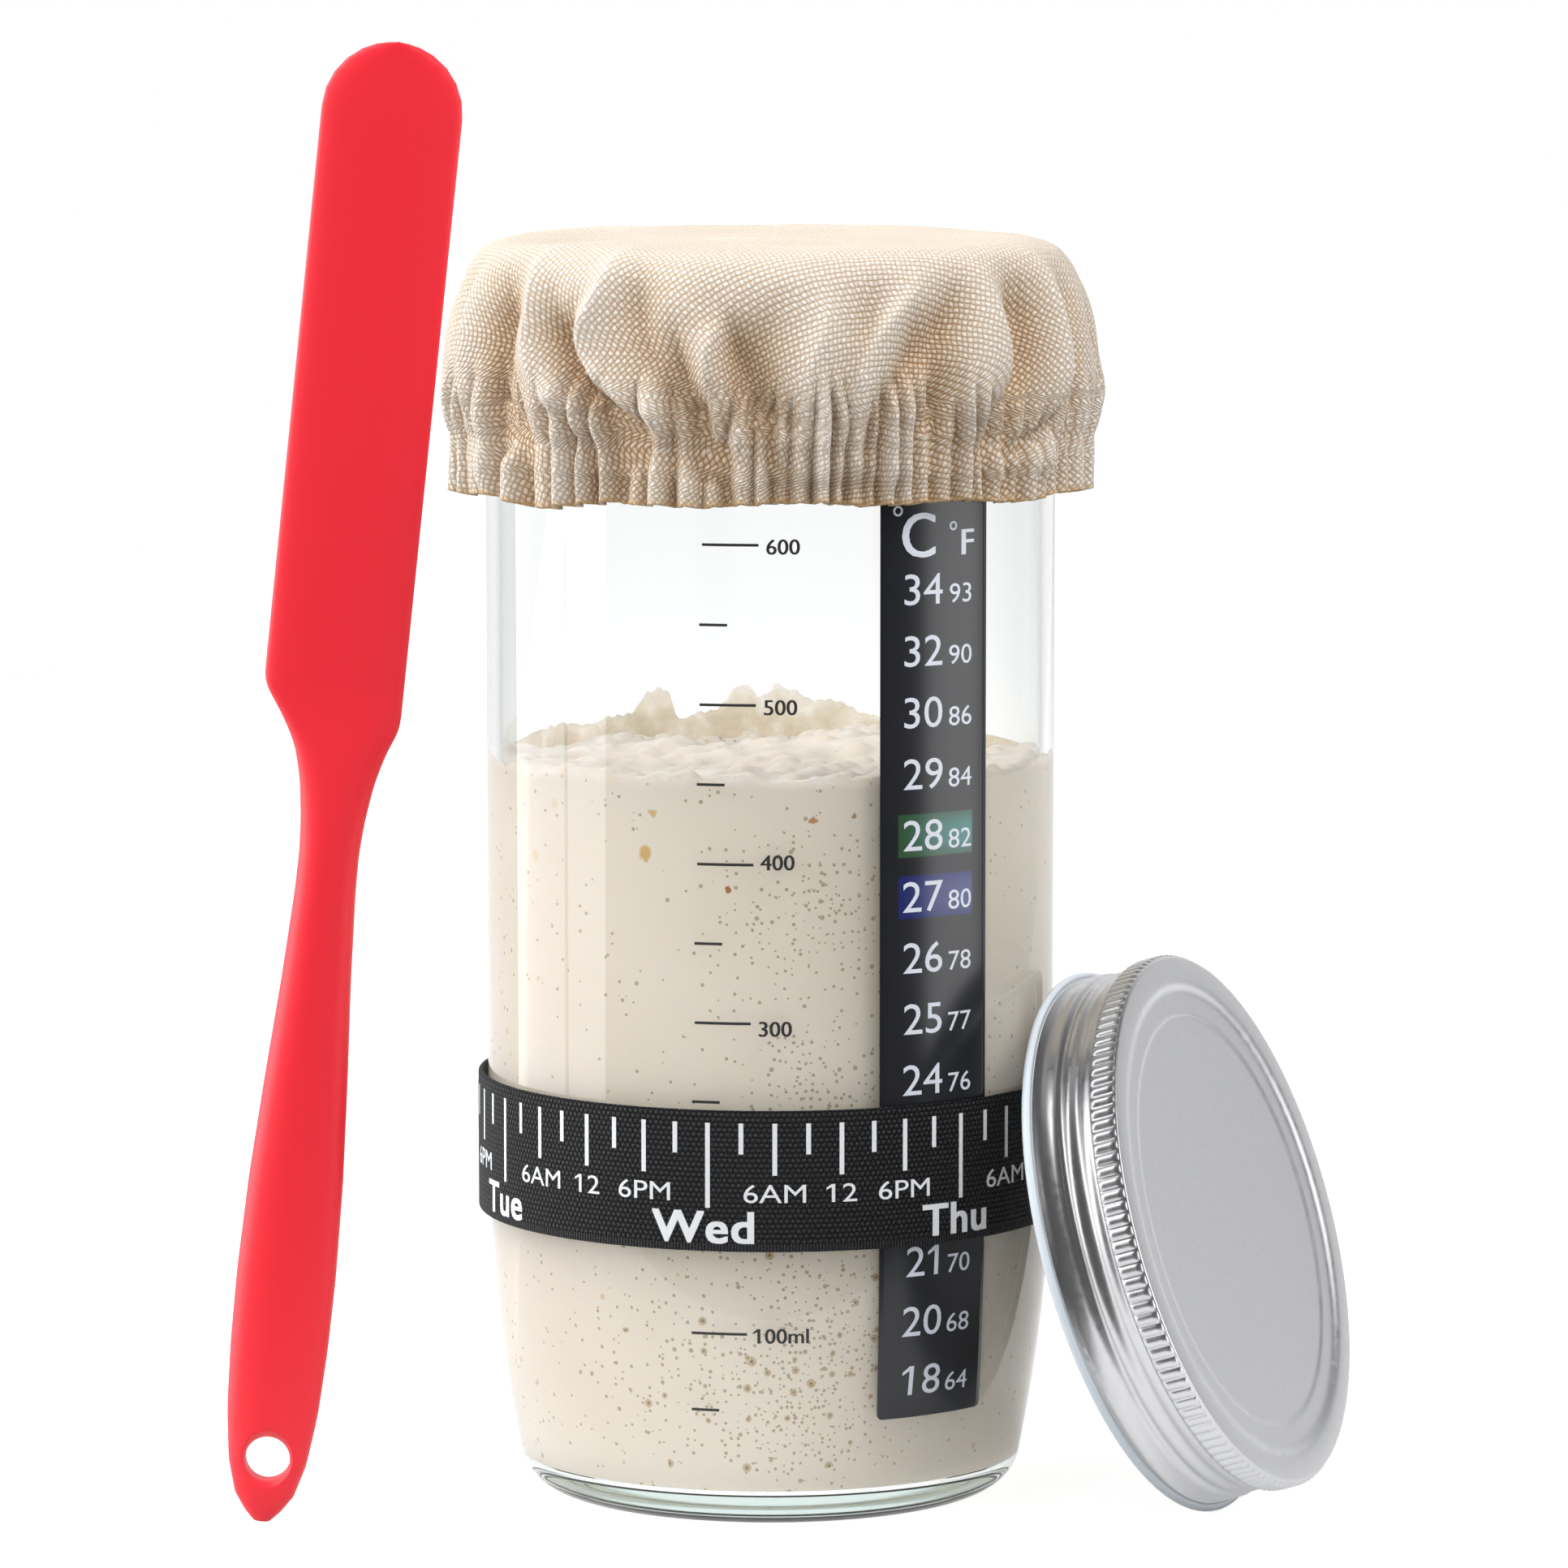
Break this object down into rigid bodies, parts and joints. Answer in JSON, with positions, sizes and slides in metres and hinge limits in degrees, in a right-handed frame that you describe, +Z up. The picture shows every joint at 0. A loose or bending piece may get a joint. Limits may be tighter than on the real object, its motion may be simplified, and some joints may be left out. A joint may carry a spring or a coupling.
{
  "type": "sourdough starter jar",
  "caption": "Glass starter jar with gathered cloth cover, sliding feeding band, temperature strip, screw lid standing beside it and a silicone spatula.",
  "frame": {"origin": "middle of the jar's foot, on the surface it stands on", "axes": "+Z up along the jar's axis, -Y to the front of the volume scale, +X towards the lid that stands beside the jar"},
  "size_m": [0.1584, 0.1007, 0.2051],
  "materials": {
    "jar_glass": "clear, faint green in the thickness",
    "starter": "moist bubbly dough",
    "adhesive": "clear adhesive layer",
    "crystal_windows": "dark liquid crystal ink",
    "strip_film": "smooth glossy film",
    "canvas": "undyed basket-weave canvas",
    "elastic": "woven elastic",
    "band_webbing": "ribbed black elastic webbing with white marks",
    "thread": "black sewing thread",
    "lid_metal": "satin rolled aluminium",
    "lid_seal": "soft white sealing compound",
    "silicone": "satin red silicone",
    "core": "nylon"
  },
  "bodies": {
    "jar": {"jar_glass": "jar_glass", "starter_dough": "starter", "thermometer_adhesive": "adhesive", "thermometer_windows": "crystal_windows", "thermometer_film": "strip_film"},
    "cover": {"cover_cloth": "canvas", "cover_elastic": "elastic"},
    "band": {"feeding_band": "band_webbing", "band_stitches": "thread"},
    "lid": {"lid_shell": "lid_metal", "lid_seal": "lid_seal"},
    "spatula": {"spatula_silicone": "silicone", "spatula_core": "core"}
  },
  "joints": [
    {"name": "cover_lift", "type": "slide", "parent": "jar", "child": "cover", "axis": [0, 0, 1], "range_m": [0, 0.08]},
    {"name": "band_slide", "type": "slide", "parent": "jar", "child": "band", "axis": [0, 0, 1], "range_m": [-0.012, 0.08]},
    {"name": "lid_slide", "type": "slide", "parent": "jar", "child": "lid", "axis": [0.9598, -0.2807, 0], "range_m": [0, 0.06]},
    {"name": "spatula_lift", "type": "slide", "parent": "jar", "child": "spatula", "axis": [0, 0, 1], "range_m": [0, 0.12]}
  ]
}
